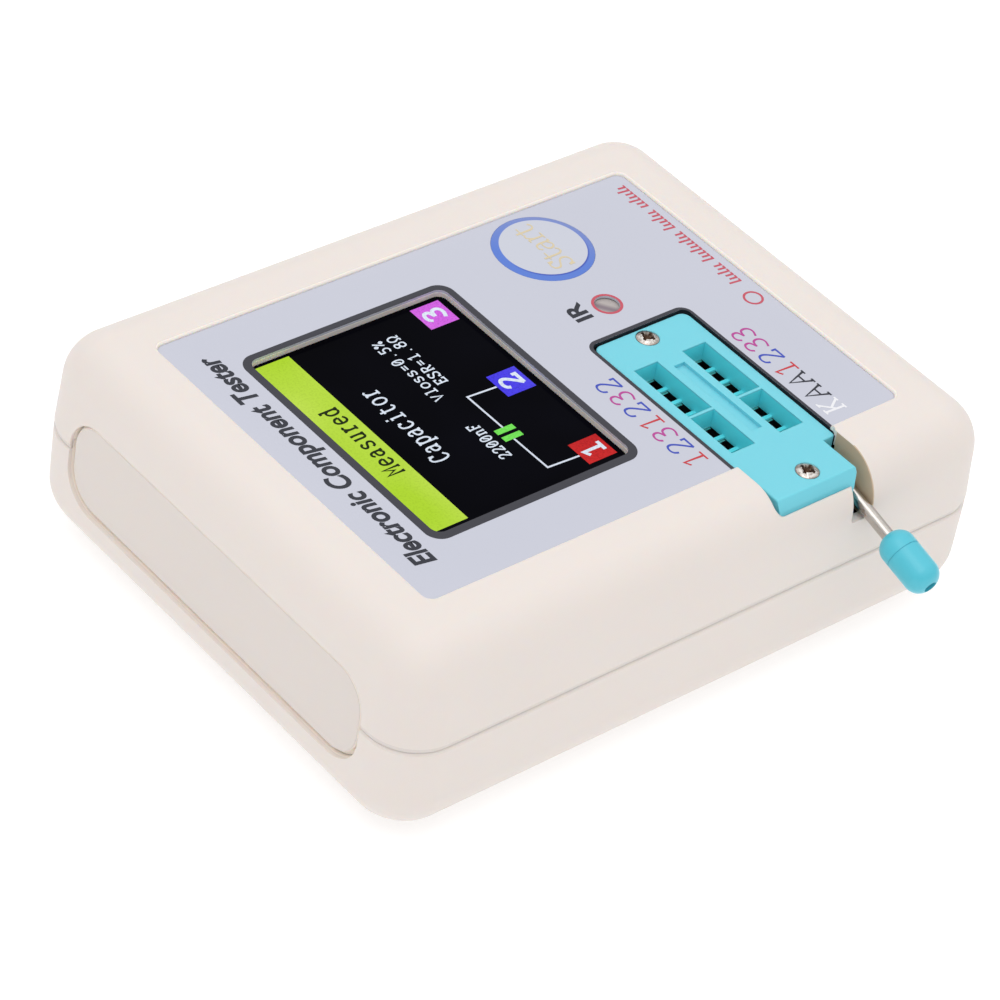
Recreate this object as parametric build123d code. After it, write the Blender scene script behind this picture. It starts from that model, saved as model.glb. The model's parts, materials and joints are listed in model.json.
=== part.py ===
"""Bench component tester: two-part plastic case, screen, start key and lever-operated test socket.

Millimetres. +X is to the right of a reader, +Y towards the title end, +Z up.
The origin is the centre of the flat underside.
"""
from build123d import *
from math import cos, radians, sin
import os

# ---- driving dimensions -------------------------------------------------------------------
# Case
body_w, body_l, body_h = 70.0, 90.0, 28.0
wall = 2.0
corner_r = 6.4
seam_z = 14.88
seam_gap = 0.06
seam_bevel_in, seam_bevel_up, seam_bevel_down = 0.22, 0.8, 0.25
top_draft = 0.46
top_edge_in, top_edge_down = 5.5, 6.1
foot_edge_in, foot_edge_up = 8.5, 7.4
edge_steps = 6
lip_in, lip_t, lip_h = 0.5, 1.0, 1.2
snug = 0.05

# Label recess and label film
label_w, label_l, label_r = 51.0, 71.4, 1.2
label_gap, recess_round = 0.04, 0.45
label_t = 0.3
label_top_z = body_h - 0.48
recess_z = label_top_z - label_t

# Screen
window_x, window_y = 0.53, 13.28
window_w, window_l, window_r = 35.1, 28.86, 1.3
glass_top_z = 26.6
glass_w, glass_l, glass_t = 46.7, 34.7, 1.55
glass_x = 4.05
tray_t, carrier_t = 1.3, 1.2

# Start key and its switch
key_x, key_y = 18.1, -17.0
key_r, key_face_r, key_rise = 6.4, 5.45, 0.25
key_travel = 0.3
key_gap = 0.03
switch_size, switch_h = 6.0, 3.6
plunger_r, plunger_top_z = 1.7, 24.9

# Infrared window and receiver
ir_x, ir_y = 5.72, -16.75
ir_r = 1.58

# Test socket
pitch = 2.54
row_offset = 3.81
slots_per_row = 7
slots_before_bridge = 4
first_slot_x = -6.6
socket_y = -17.0
socket_top_z = 27.25
socket_split_z = 23.2
socket_wide_near_y, socket_wide_far_y = -9.8, -24.45
socket_start_x, socket_step_x, socket_end_x = 0.28, -26.6, -33.15
socket_ramp_x, socket_ramp_z = -32.1, 25.3
socket_near_y, socket_far_y = -10.2, -22.55
notch_near_y, notch_far_y, notch_lever_y = -9.55, -24.6, -24.25
notch_x, notch_lever_x, notch_end_x = 0.45, -26.8, -33.3
skirt_t, skirt_z = 1.0, 20.0
pocket_w, pocket_depth, pocket_margin = 3.7, 2.4, 1.08
pocket_floor_t = 0.3
slot_back, slot_front = 0.95, 1.05
strip_w, strip_depth = 1.7, 0.45
socket_screw_x = (-1.5, -29.8)

# Lever and its cams
pivot_x, pivot_z = -27.5, 24.0
rod_r = 0.8
arm_y = -23.4
bend_r = 1.0
arm_tilt = 14.9
knob_start, knob_end, knob_r = 11.35, 19.4, 2.25
cam_r, cam_throw, cam_phase = 1.1, 0.587, 50.0
slider_travel = 0.9
cam_bands = ((-14.3, -11.6), (-21.9, -19.6))

# Boards and fasteners
board_top_z, board_t = 15.6, 1.6
board_w, board_half_l = 62.0, 40.6
case_screw_x, case_screw_y = 25.5, 36.0
usb_w, usb_l, usb_h = 7.5, 5.6, 2.5
light_x = 8.0

# End panels
panel_w, panel_z0, panel_z1, panel_r = 54.0, 8.5, 20.42, 4.5
opening_w, opening_z0, opening_z1 = 55.0, 7.95, 20.55
panel_y, panel_step = 44.62, 0.7

board_z = board_top_z - board_t
ceiling_z = body_h - wall
slot_xs = [first_slot_x - pitch * k for k in range(slots_per_row)]
row_ys = [socket_y + row_offset, socket_y - row_offset]
corners = [(sx * case_screw_x, sy * case_screw_y) for sx in (-1, 1) for sy in (-1, 1)]


# ---- small shape helpers ------------------------------------------------------------------
def block(x0, x1, y0, y1, z0, z1):
    """Box between two opposite corners."""
    centre = Pos((x0 + x1) / 2, (y0 + y1) / 2, (z0 + z1) / 2)
    return centre * Box(abs(x1 - x0), abs(y1 - y0), abs(z1 - z0))


def post(x, y, z0, z1, radius):
    """Upright cylinder."""
    return Pos(x, y, (z0 + z1) / 2) * Cylinder(radius, z1 - z0)


def plate(x, y, width, length, z0, z1, radius):
    """Flat plate with rounded corners, lying in XY."""
    return Pos(x, y, z0) * extrude(RectangleRounded(width, length, radius), z1 - z0)


def end_plate(width, z0, z1, y0, y1, radius):
    """Plate with rounded corners, standing across the case, between two Y stations."""
    face = RectangleRounded(width, z1 - z0, radius)
    standing = Plane(origin=(0, y0, (z0 + z1) / 2), x_dir=(1, 0, 0), z_dir=(0, 1, 0))
    return extrude(standing * face, y1 - y0)


# ---- case ---------------------------------------------------------------------------------
def outline(z, inset, skin, share):
    """Rounded rectangle of the case at one height, drawn in by inset and by the skin."""
    radius = corner_r - skin - share * inset
    size_x, size_y = body_w - 2 * (skin + inset), body_l - 2 * (skin + inset)
    return Pos(0, 0, z) * RectangleRounded(size_x, size_y, radius)


def case_half(z_rim, z_shoulder, z_flat, draft, edge_in, share, skin=0.0):
    """One half of the case as a solid: a straight or drafted wall, then an elliptical edge."""
    side = 1 if z_flat > z_rim else -1
    bevel_in = 0 if skin else seam_bevel_in
    bevel_end = z_rim + (seam_bevel_up if side > 0 else -seam_bevel_down)
    wall_part = loft([outline(z_rim, bevel_in, skin, share),
                      outline(bevel_end, 0, skin, share),
                      outline(z_shoulder, draft, skin, share)], ruled=True)
    rise, run = abs(z_flat - z_shoulder) - skin, edge_in - skin
    levels = []
    for step in range(edge_steps + 1):
        turn = radians(90 * step / edge_steps)
        level_z = z_shoulder + side * rise * sin(turn)
        levels.append(outline(level_z, draft + run * (1 - cos(turn)), skin, share))
    return wall_part + loft(levels)


def top_half(skin=0.0, z_rim=seam_z + seam_gap / 2):
    return case_half(z_rim, body_h - top_edge_down, body_h, top_draft, top_edge_in, 0.93, skin)


def bottom_half(skin=0.0, z_rim=seam_z - seam_gap / 2):
    return case_half(z_rim, foot_edge_up, 0, 0, foot_edge_in, 0.55, skin)


def panel_openings():
    """Cut-outs in both end walls, across the seam."""
    reach = body_l / 2 + 1
    inner = body_l / 2 - wall - 1
    radius = panel_r + 0.3
    front = end_plate(opening_w, opening_z0, opening_z1, inner, reach, radius)
    rear = end_plate(opening_w, opening_z0, opening_z1, -reach, -inner, radius)
    return front + rear


def lever_slot():
    """Round-bottomed slot in the left wall that the lever passes through."""
    y_near, z_floor, height, radius = -21.1, 20.95, 10, 0.6
    centre = Pos((notch_lever_y + y_near) / 2, z_floor + height / 2)
    tall = centre * RectangleRounded(y_near - notch_lever_y, height, radius)
    side = Plane(origin=(-body_w / 2 - 1, 0, 0), x_dir=(0, 1, 0), z_dir=(1, 0, 0))
    return extrude(side * tall, 4.5)


def socket_notch():
    """Opening in the top for the test socket, narrower at the lever's end."""
    opening = RectangleRounded(notch_x - notch_end_x, notch_near_y - notch_lever_y, 1.0)
    opening = Pos((notch_end_x + notch_x) / 2, (notch_near_y + notch_lever_y) / 2) * opening
    wide = RectangleRounded(notch_x - notch_lever_x, notch_near_y - notch_far_y, 1.0)
    opening += Pos((notch_lever_x + notch_x) / 2, (notch_near_y + notch_far_y) / 2) * wide
    return Pos(0, 0, seam_z) * extrude(opening, body_h + 1 - seam_z)


def top_shell():
    shell = top_half() - top_half(wall)
    rebate = plate(0, 0, body_w - 2 * (lip_in - snug), body_l - 2 * (lip_in - snug),
                   seam_z, seam_z + seam_gap / 2 + lip_h, corner_r - lip_in + snug)
    shell -= rebate
    skirt = block(-body_w / 2, notch_lever_x - 0.2, notch_lever_y - skirt_t, notch_lever_y + 0.1,
                  skirt_z, body_h)
    shell += skirt & top_half(wall / 2)
    for x, y in corners:
        shell += post(x, y, board_top_z, ceiling_z + 0.4, 3.0)
    for x, y in corners:
        shell -= post(x, y, board_top_z - 1, 23.5, 1.15)
    shell -= plate(0, 0, label_w, label_l, recess_z, body_h + 1, label_r)
    rim = [edge for edge in shell.edges().filter_by_position(Axis.Z, body_h - 0.01, body_h + 0.01)
           if abs(edge.center().X) <= label_w / 2 and abs(edge.center().Y) <= label_l / 2]
    shell = fillet(rim, recess_round)
    shell -= plate(window_x, window_y, window_w, window_l, ceiling_z - 1, body_h, window_r)
    shell -= post(key_x, key_y, ceiling_z - 1, body_h, key_r + 0.3)
    shell -= post(ir_x, ir_y, ceiling_z - 1, body_h, ir_r + 0.35)
    shell -= socket_notch()
    shell -= lever_slot()
    shell -= panel_openings()
    return shell


def bottom_shell():
    shell = bottom_half() - bottom_half(wall)
    tongue_top = seam_z + seam_gap / 2 + lip_h - snug
    outer = plate(0, 0, body_w - 2 * lip_in, body_l - 2 * lip_in,
                  seam_z - seam_gap, tongue_top, corner_r - lip_in)
    inner_in = lip_in + lip_t
    inner = plate(0, 0, body_w - 2 * inner_in, body_l - 2 * inner_in,
                  seam_z - 1, tongue_top + 1, corner_r - inner_in)
    shell += outer - inner
    for x, y in corners:
        shell += post(x, y, wall - 0.4, board_z, 3.2)
    for x, y in corners:
        shell -= post(x, y, -1, 2.0, 2.6)
        shell -= post(x, y, 1, board_z + 1, 1.4)
    shell -= panel_openings()
    return shell


def end_panel(direction):
    """Flat plate in the end wall, stepped to fill its opening, with a flange behind the wall."""
    step_y = panel_y - panel_step
    inner_y = body_l / 2 - wall - 0.65
    panel = end_plate(panel_w, panel_z0, panel_z1, step_y - 0.1, panel_y, panel_r)
    panel = fillet(panel.faces().sort_by(Axis.Y)[-1].edges(), 0.3)
    panel += end_plate(opening_w - 0.2, opening_z0 + 0.1, opening_z1 - 0.1, inner_y, step_y, panel_r + 0.2)
    panel += end_plate(56.6, 7.2, 21.5, inner_y - 0.9, inner_y, panel_r)
    return panel if direction > 0 else Rot(0, 0, 180) * panel


def port_panel():
    """End panel with the charging socket's opening and two light holes."""
    panel = end_panel(-1)
    port_z = board_top_z + usb_h / 2
    rear, front = -body_l / 2 - 1, -body_l / 2 + 6
    port = Plane(origin=(0, rear, port_z), x_dir=(1, 0, 0), z_dir=(0, 1, 0))
    panel -= extrude(port * RectangleRounded(usb_w + 0.9, usb_h + 0.9, 1.2), front - rear)
    for x in (-light_x, light_x):
        hole = Plane(origin=(x, rear, port_z - 0.25), z_dir=(0, 1, 0)) * Circle(1.1)
        panel -= extrude(hole, front - rear)
    return panel


def case_screws():
    """Four pan-head screws driven up from recesses in the underside."""
    shape = post(0, 0, 0.35, 1.95, 2.3) + post(0, 0, 1.95, 22.5, 1.1)
    shape -= Pos(0, 0, 0.6) * (Box(2.6, 0.6, 1.0) + Box(0.6, 2.6, 1.0))
    return Compound([Pos(x, y, 0) * shape for x, y in corners])


# ---- label, key and screen ----------------------------------------------------------------
def label_film():
    film = plate(0, 0, label_w - 2 * label_gap, label_l - 2 * label_gap, recess_z, label_top_z,
                 label_r - label_gap)
    film -= plate(window_x, window_y, window_w, window_l, recess_z - 1, body_h, window_r)
    film -= post(key_x, key_y, recess_z - 1, body_h, key_r + key_gap)
    film -= post(ir_x, ir_y, recess_z - 1, body_h, ir_r)
    return film - socket_notch()


def start_key():
    """Raised round key with a sloping ring round a flat face."""
    slope = Plane.XZ * Polyline((0, recess_z + 0.02), (key_r, recess_z + 0.02),
                                (key_r, label_top_z), (key_face_r, label_top_z + key_rise),
                                (0, label_top_z + key_rise), close=True)
    return Pos(key_x, key_y, 0) * revolve(make_face(slope), Axis.Z)


def key_actuator():
    """Stiff disc under the key, with a stem that reaches the switch."""
    disc_z = recess_z - 0.9
    return (post(key_x, key_y, disc_z, recess_z, 5.6)
            + post(key_x, key_y, plunger_top_z + 0.02, disc_z, 2.4))


def switch_body():
    half = switch_size / 2
    body = block(key_x - half, key_x + half, key_y - half, key_y + half,
                 board_top_z, board_top_z + switch_h)
    return body - post(key_x, key_y, board_top_z + 1.6, board_top_z + 5, plunger_r + 0.1)


def switch_plunger():
    return post(key_x, key_y, board_top_z + 1.6 + key_travel + 0.1, plunger_top_z, plunger_r)


def display_stack():
    """Glass, backlight tray and carrier board, one under the other."""
    glass_z = ceiling_z - snug - glass_t
    tray_z = glass_z - snug - tray_t
    carrier_z = tray_z - snug - carrier_t
    y0, y1 = window_y - glass_l / 2, window_y + glass_l / 2
    x0, x1 = glass_x - glass_w / 2, glass_x + glass_w / 2
    glass = block(x0, x1, y0, y1, glass_z, glass_z + glass_t)
    glass += plate(window_x, window_y, window_w - 0.2, window_l - 0.2, glass_z, glass_top_z,
                   window_r - 0.1)
    tray = block(x0 - 0.3, x1 - 4, y0 - 0.3, y1 + 0.3, tray_z, tray_z + tray_t)
    carrier = block(x0 - 1, x1 + 1, y0 - 0.5, y1 + 0.5, carrier_z, carrier_z + carrier_t)
    header = block(x1 - 2.5, x1, window_y - 4 * pitch, window_y + 4 * pitch,
                   board_top_z, carrier_z - snug)
    return glass, tray, carrier, header


def ir_window():
    return post(ir_x, ir_y, ceiling_z + 0.1, recess_z - 0.15, ir_r + 0.3)


def ir_receiver():
    """Moulded receiver with a domed lens, on three legs."""
    top_z, half = 23.6, 2.8
    body = block(ir_x - half, ir_x + half, ir_y - half, ir_y + half, 18.2, top_z)
    body += Pos(ir_x, ir_y, top_z) * Sphere(1.8)
    for k in (-1, 0, 1):
        leg_x = ir_x + k * pitch * 0.9
        body += block(leg_x - 0.25, leg_x + 0.25, ir_y - 0.2, ir_y + 0.2, board_z, 18.2)
    return body


# ---- test socket --------------------------------------------------------------------------
def socket_outline(shrink=0.0):
    """Plan of the socket: a wide part, then a narrower end beside the lever."""
    y_near, y_far = socket_wide_near_y - shrink, socket_wide_far_y + shrink
    start_x, end_x, corner_cut = socket_start_x - shrink, socket_end_x + shrink, 0.7
    points = [(start_x, y_near), (socket_step_x, y_near),
              (socket_step_x - 0.8, socket_near_y - shrink), (end_x, socket_near_y - shrink),
              (end_x, socket_far_y + corner_cut), (end_x + corner_cut, socket_far_y),
              (socket_step_x, socket_far_y), (socket_step_x, y_far), (start_x, y_far)]
    return make_face(Polyline(*points, close=True))


def socket_cuts():
    """Room that the lever's axle and cams need, centred on the pivot."""
    axle = Plane(origin=(pivot_x, -10.9, pivot_z), z_dir=(0, -1, 0)) * Circle(rod_r + 0.07)
    room = extrude(axle, 13)
    room += block(pivot_x - rod_r - 0.07, pivot_x + rod_r + 0.07, -10.9, -24,
                  socket_split_z - 0.01, pivot_z)
    for y0, y1 in cam_bands:
        room += block(pivot_x - 1.75, pivot_x + 1.75, y0 - 0.15, y1 + 0.15,
                      socket_split_z - 0.01, pivot_z + 0.95)
    return room


def socket_cover():
    body = Pos(0, 0, socket_split_z) * extrude(socket_outline(), socket_top_z - socket_split_z)
    body = fillet(body.edges().filter_by(Axis.Z).group_by(Axis.X)[-1], 1.2)
    step_corner = (socket_step_x, socket_wide_far_y, (socket_split_z + socket_top_z) / 2)
    body = fillet(body.edges().filter_by(Axis.Z).sort_by_distance(step_corner)[0], 0.4)
    ramp = Polyline((socket_ramp_x, socket_top_z), (socket_end_x, socket_ramp_z),
                    (socket_end_x - 1, socket_ramp_z), (socket_end_x - 1, socket_top_z + 1),
                    (socket_ramp_x, socket_top_z + 1), close=True)
    body -= Pos(0, body_l / 2, 0) * extrude(Plane.XZ * make_face(ramp), body_l)
    body = fillet(body.faces().sort_by(Axis.Z)[-1].edges(), 0.2)
    floor_z = socket_top_z - pocket_depth
    runs = (slot_xs[:slots_before_bridge], slot_xs[slots_before_bridge:])
    for y in row_ys:
        for run in runs:
            body -= block(run[0] + pocket_margin, run[-1] - pocket_margin,
                          y - pocket_w / 2, y + pocket_w / 2, floor_z, body_h)
        body -= block(slot_xs[0] + 1.6, slot_xs[-1] - 1.6, y - 2.4, y + 2.4,
                      socket_split_z - 1, floor_z - pocket_floor_t)
        for x in slot_xs:
            body -= block(x - slot_back, x + slot_front, y - pocket_w / 2, y + pocket_w / 2,
                          socket_split_z, floor_z + 0.1)
    body -= block(slot_xs[0] - 0.6, slot_xs[-1] + 0.8, socket_y - strip_w / 2, socket_y + strip_w / 2,
                  socket_top_z - strip_depth, body_h)
    for x in socket_screw_x:
        body -= post(x, socket_y, socket_split_z - 1, body_h, 1.0)
        body -= Pos(x, socket_y, socket_top_z - 0.5) * Cone(0.9, 1.5, 1.0)
    return body - socket_cuts()


def socket_base():
    """Lower half: a tray for the slider with a well for each contact."""
    low_z = board_top_z + 0.5
    body = Pos(0, 0, low_z) * extrude(socket_outline(0.3), socket_split_z - snug - low_z)
    for x in (-2.2, -29.5):
        for y in (socket_y - 4, socket_y + 4):
            body += post(x, y, board_top_z, low_z + 0.5, 0.9)
    body -= slider_plan(0.12, slider_travel) & block(-40, 10, -40, 0, 21.65, 30)
    for y in row_ys:
        for x in slot_xs:
            body -= block(x - 0.95, x + 1.2, y - 0.75, y + 0.75, low_z - 1, 22)
    for x in socket_screw_x:
        body -= post(x, socket_y, low_z - 1, socket_split_z + 1, 0.95)
    for y0, y1 in cam_bands:
        body -= block(pivot_x - 1.75, pivot_x + 1.75, y0 - 0.15, y1 + 0.15, 22.2, 30)
    return body


def slider_plan(grow=0.0, travel=0.0):
    """Outside of the slider, or of the room it slides in: a plate with two arms."""
    z0, z1 = (20.0, 30.0) if grow else (21.75, 23.1)
    tail_x = pivot_x - 1.65
    shape = block(-3.9 + grow, -23.8 - grow - travel, socket_y - 6.0 - grow,
                  socket_y + 6.0 + grow, z0, z1)
    for y0, y1 in cam_bands:
        shape += block(-20, tail_x - grow - travel, max(y0 - 0.35, -22.0) - grow,
                       y1 + 0.35 + grow, z0, z1)
    return shape


def socket_slider():
    """Plate that opens and closes the contacts, driven by the cams in its two arms."""
    body = slider_plan()
    for y in row_ys:
        for x in slot_xs:
            body -= block(x - 0.1, x + 2.1, y - 0.75, y + 0.75, 21, 24)
    cam_x = pivot_x + cam_throw * sin(radians(cam_phase))
    for y0, y1 in cam_bands:
        body -= block(cam_x - cam_r - 0.05, cam_x + cam_r + 0.05, y0 - 0.1, y1 + 0.1, 21, 24)
    return body


def socket_contacts():
    """Spring contact in each well, with its tail through the board."""
    tip_z = socket_top_z - pocket_depth - pocket_floor_t - 0.03
    leaf = block(0.88, 1.04, -0.55, 0.55, board_top_z + 0.6, tip_z)
    leaf += block(0.78, 1.04, -1.75, 1.75, tip_z - 0.14, tip_z)
    leaf += block(-0.3, 1.04, -0.3, 0.3, board_top_z + 0.6, board_top_z + 1.0)
    leaf += post(0, 0, board_z - 1.4, board_top_z + 0.8, 0.3)
    return Compound([Pos(x, y, 0) * leaf for y in row_ys for x in slot_xs])


def socket_screws():
    """Two domed cross-head screws, countersunk in the cover."""
    head_r, crown_h = 1.42, 0.42
    dome_r = (head_r ** 2 + crown_h ** 2) / (2 * crown_h)
    dome = Sphere(dome_r) & block(-3, 3, -3, 3, dome_r - crown_h, dome_r + 1)
    shape = Pos(0, 0, socket_top_z + crown_h - dome_r) * dome
    shape += Pos(0, 0, socket_top_z - 0.5) * Cone(0.85, head_r, 1.0) + post(0, 0, 17.5, 26.9, 0.85)
    for turn in (20, 110):
        arm = Rot(0, 0, turn) * Box(1.9, 0.42, 1.0)
        shape -= Pos(0, 0, socket_top_z + crown_h - 0.1) * arm
    shape -= Pos(0, 0, socket_top_z + crown_h - 0.6) * Rot(0, 0, 20) * Cone(0.3, 0.78, 1.4)
    return Compound([Pos(x, socket_y, 0) * shape for x in socket_screw_x])


def lever_frame():
    """Frame at the pivot whose -X runs along the lowered arm."""
    return Pos(pivot_x, 0, pivot_z) * Rot(0, -arm_tilt, 0)


def lever_rod():
    """Round rod: axle with two cams, a bend, then the arm."""
    route = FilletPolyline((0, -11.2, 0), (0, arm_y, 0), (-knob_end + 3.0, arm_y, 0), radius=bend_r)
    start = Plane(origin=(0, -11.2, 0), z_dir=(0, -1, 0))
    rod = lever_frame() * sweep(start * Circle(rod_r), path=route)
    cam_x = pivot_x + cam_throw * sin(radians(cam_phase))
    cam_z = pivot_z - cam_throw * cos(radians(cam_phase))
    for y0, y1 in cam_bands:
        disc = Plane(origin=(cam_x, y0, cam_z), z_dir=(0, 1, 0)) * Circle(cam_r)
        rod += extrude(disc, y1 - y0)
    return rod


def lever_knob():
    """Capsule pushed onto the arm, with a parting groove and an open end."""
    along = Plane(origin=(-knob_start, arm_y, 0), z_dir=(-1, 0, 0))
    length = knob_end - knob_start
    body = Pos(0, 0, length / 2) * Cylinder(knob_r, length)
    body = fillet(body.edges(), knob_r - 0.35)
    ring = Pos(0, 0, length * 0.36) * (Cylinder(knob_r + 1, 0.12) - Cylinder(knob_r - 0.08, 0.12))
    body -= ring
    body -= Pos(0, 0, length / 2) * Cylinder(rod_r + 0.02, length + 1)
    return lever_frame() * (along * body)


# ---- boards and electronics ---------------------------------------------------------------
def main_board():
    board = plate(0, 0, board_w, 2 * board_half_l, board_z, board_top_z, 2.0)
    for x, y in corners:
        board -= post(x, y, board_z - 1, board_top_z + 1, 1.5)
    for y in row_ys:
        for x in slot_xs:
            board -= post(x, y, board_z - 1, board_top_z + 1, 0.4)
    for k in (-1, 0, 1):
        leg_x = ir_x + k * pitch * 0.9
        board -= post(leg_x, ir_y, board_z - 1, board_top_z + 1, 0.42)
    for y in (-14.0, -12.0):
        board -= post(24, y, board_z - 1, board_top_z + 1, 0.5)
    return board


def on_board(x, y, width, length, height, lift=0.0):
    """Block standing on the board's top."""
    base = board_top_z + lift
    return block(x - width / 2, x + width / 2, y - length / 2, y + length / 2, base, base + height)


def board_components():
    """Small chips, resistors and capacitors in two rows beside the controller."""
    pieces = []
    for row in range(2):
        for k in range(8):
            pieces.append(on_board(-22 + 3.2 * k, 27 + 4 * row, 1.6, 0.8, 0.55))
    for k in range(6):
        pieces.append(on_board(10 + 2.6 * k, -30, 1.25, 2.0, 0.8))
    pieces.append(on_board(-16, -31, 6.4, 3.5, 1.6))
    return Compound(pieces)


def capacitors():
    """Two upright can capacitors."""
    return Compound([post(x, 34.5, board_top_z, board_top_z + 5.4, 2.5) for x in (-5.0, 5.0)])


def charging_socket():
    """Metal shell with a hollow mouth and a tongue."""
    y_mouth = -body_l / 2 + 1.0
    z_mid = board_top_z + usb_h / 2
    end = Plane(origin=(0, y_mouth, z_mid), x_dir=(1, 0, 0), z_dir=(0, 1, 0))
    shell = extrude(end * RectangleRounded(usb_w, usb_h, 0.6), usb_l)
    shell -= extrude(end * RectangleRounded(usb_w - 0.6, usb_h - 0.6, 0.4), usb_l - 1)
    return shell + block(-2.4, 2.4, y_mouth + 1.0, y_mouth + usb_l, z_mid + 0.1, z_mid + 0.65)


def charge_lights():
    """Two small lights behind the holes in the port panel."""
    z_mid = board_top_z + usb_h / 2 - 0.25
    lights = []
    for x in (-light_x, light_x):
        base = block(x - 1.5, x + 1.5, -40.4, -38.4, board_top_z, z_mid + 1.1)
        lens = Plane(origin=(x, -40.4, z_mid), z_dir=(0, -1, 0)) * Circle(0.9)
        lights.append(base + extrude(lens, 3.6))
    return Compound(lights)


def battery_connector():
    """Header under the board that the battery's leads plug into."""
    return block(21.5, 26.5, -16.5, -9.5, 8.6, board_z)


def battery_leads():
    """Two insulated wires from the cell to the connector."""
    wires = []
    for y in (-14.0, -12.0):
        route = FilletPolyline((12.05, -22.2, 5.5 + (y + 13) * 0.9), (12.05, -26, 5.5 + (y + 13) * 0.9),
                               (24, y - 10, 5.0), (24, y, 5.0), (24, y, 8.55), radius=1.4)
        start = Plane(origin=route @ 0, z_dir=route % 0)
        wires.append(sweep(start * Circle(0.55), path=route, transition=Transition.ROUND))
    return Compound(wires)


display_glass, display_tray, display_carrier, display_header = display_stack()
chip_t = 1.2
parts = {
    "top_shell": top_shell(),
    "bottom_shell": bottom_shell(),
    "blank_end_panel": end_panel(1),
    "port_end_panel": port_panel(),
    "case_screws": case_screws(),
    "label_film": label_film(),
    "start_key": start_key(),
    "key_actuator": key_actuator(),
    "switch_body": switch_body(),
    "switch_plunger": switch_plunger(),
    "display_glass": display_glass,
    "display_backlight": display_tray,
    "display_board": display_carrier,
    "display_header": display_header,
    "ir_window": ir_window(),
    "ir_receiver": ir_receiver(),
    "socket_base": socket_base(),
    "socket_cover": socket_cover(),
    "socket_slider": socket_slider(),
    "socket_contacts": socket_contacts(),
    "socket_screws": socket_screws(),
    "lever_rod": lever_rod(),
    "lever_knob": lever_knob(),
    "main_board": main_board(),
    "microcontroller": on_board(-6, 10, 9, 9, chip_t),
    "crystal": on_board(-15, 10, 3.2, 10, 3.4),
    "charger_chip": on_board(14, -35, 5, 4, chip_t),
    "board_components": board_components(),
    "can_capacitors": capacitors(),
    "charging_socket": charging_socket(),
    "charge_lights": charge_lights(),
    "battery_cell": plate(-2, 4, 36, 52, wall + 0.85, wall + 6.85, 1.5),
    "battery_pad": plate(-2, 4, 30, 44, wall + 0.02, wall + 0.8, 1.0),
    "battery_leads": battery_leads(),
    "battery_connector": battery_connector(),
}

os.makedirs("parts", exist_ok=True)
for name, shape in parts.items():
    export_step(shape, f"parts/{name}.step")
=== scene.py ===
"""Looks of the component tester: printed film, screen picture, moulded plastic and bright metal."""
import bpy
import json
from math import cos, hypot, radians, sin, sqrt
from mathutils import Matrix, Vector


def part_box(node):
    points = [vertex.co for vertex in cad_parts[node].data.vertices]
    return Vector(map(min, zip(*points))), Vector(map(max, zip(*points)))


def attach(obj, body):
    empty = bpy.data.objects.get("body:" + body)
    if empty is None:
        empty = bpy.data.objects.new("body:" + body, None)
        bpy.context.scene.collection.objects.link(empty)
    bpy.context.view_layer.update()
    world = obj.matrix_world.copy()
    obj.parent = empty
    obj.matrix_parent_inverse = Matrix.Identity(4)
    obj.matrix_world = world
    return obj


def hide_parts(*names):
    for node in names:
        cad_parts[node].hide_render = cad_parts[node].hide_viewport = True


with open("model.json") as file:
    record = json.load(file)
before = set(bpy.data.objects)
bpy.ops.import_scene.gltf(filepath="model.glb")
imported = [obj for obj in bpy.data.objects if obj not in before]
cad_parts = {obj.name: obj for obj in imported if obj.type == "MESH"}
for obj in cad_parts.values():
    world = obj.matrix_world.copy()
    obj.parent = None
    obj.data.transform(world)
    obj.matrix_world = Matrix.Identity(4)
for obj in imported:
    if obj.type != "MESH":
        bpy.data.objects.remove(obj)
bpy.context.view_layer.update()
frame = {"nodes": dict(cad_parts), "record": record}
nodes = frame["nodes"]

MM = 0.001
PRINT_T = 0.012          # thickness of printed ink, mm
INK_GAP = 0.004          # gap between the ink and the film under it, mm
LIGHT_LEVEL = 1.12       # light that falls on an upward face, as a share of display white
NOTCH_X = 0.45           # inner end of the socket's opening in the film, mm
NOTCH_Y = (-24.6, -9.55)   # sides of that opening, mm
PITCH = 2.54             # from slot to slot in the test socket, mm
SLOTS = 7                # slots in each row of the socket
SCREW_TO_SLOT = 6.52     # from the edge of the socket's inner screw to the first slot, mm
SCREEN_MID = Vector((0.53, 13.28))    # middle of the screen's window, mm
SCREEN_SIZE = Vector((35.1, 28.86))   # size of that window, mm
SCREEN_CORNER = 1.3      # radius of its corners, mm


# ---- places read from the frame, in millimetres -------------------------------------------
def node_box(name):
    """Lowest and highest corner of a CAD node, in millimetres."""
    low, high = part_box(name)
    return low / MM, high / MM


film_low, film_high = node_box("label_film")
ink_z = film_high.z + INK_GAP
glass_high = node_box("display_glass")[1]
key_low, key_high = node_box("start_key")
key_mid = (key_low + key_high) / 2
ir_low, ir_high = node_box("ir_window")
ir_mid = (ir_low + ir_high) / 2
screws_high = node_box("socket_screws")[1]
seam_z, case_high = node_box("top_shell")[0].z, node_box("top_shell")[1]
first_slot_x = screws_high.x - SCREW_TO_SLOT


# ---- colours and node graphs --------------------------------------------------------------
def srgb(red, green, blue, light=1.0):
    """Linear RGBA from display values of 0 to 255, divided by the light that falls there."""
    def linear(level):
        level /= 255
        return (level / 12.92 if level <= 0.04045 else ((level + 0.055) / 1.055) ** 2.4) / light
    return (linear(red), linear(green), linear(blue), 1.0)


def paint(red, green, blue):
    """Surface colour that shows as these display values on an upward face."""
    return srgb(red, green, blue, LIGHT_LEVEL)


def shade(color, factor):
    """The same colour, lighter or darker."""
    return tuple(channel * factor for channel in color[:3]) + (1.0,)


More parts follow.
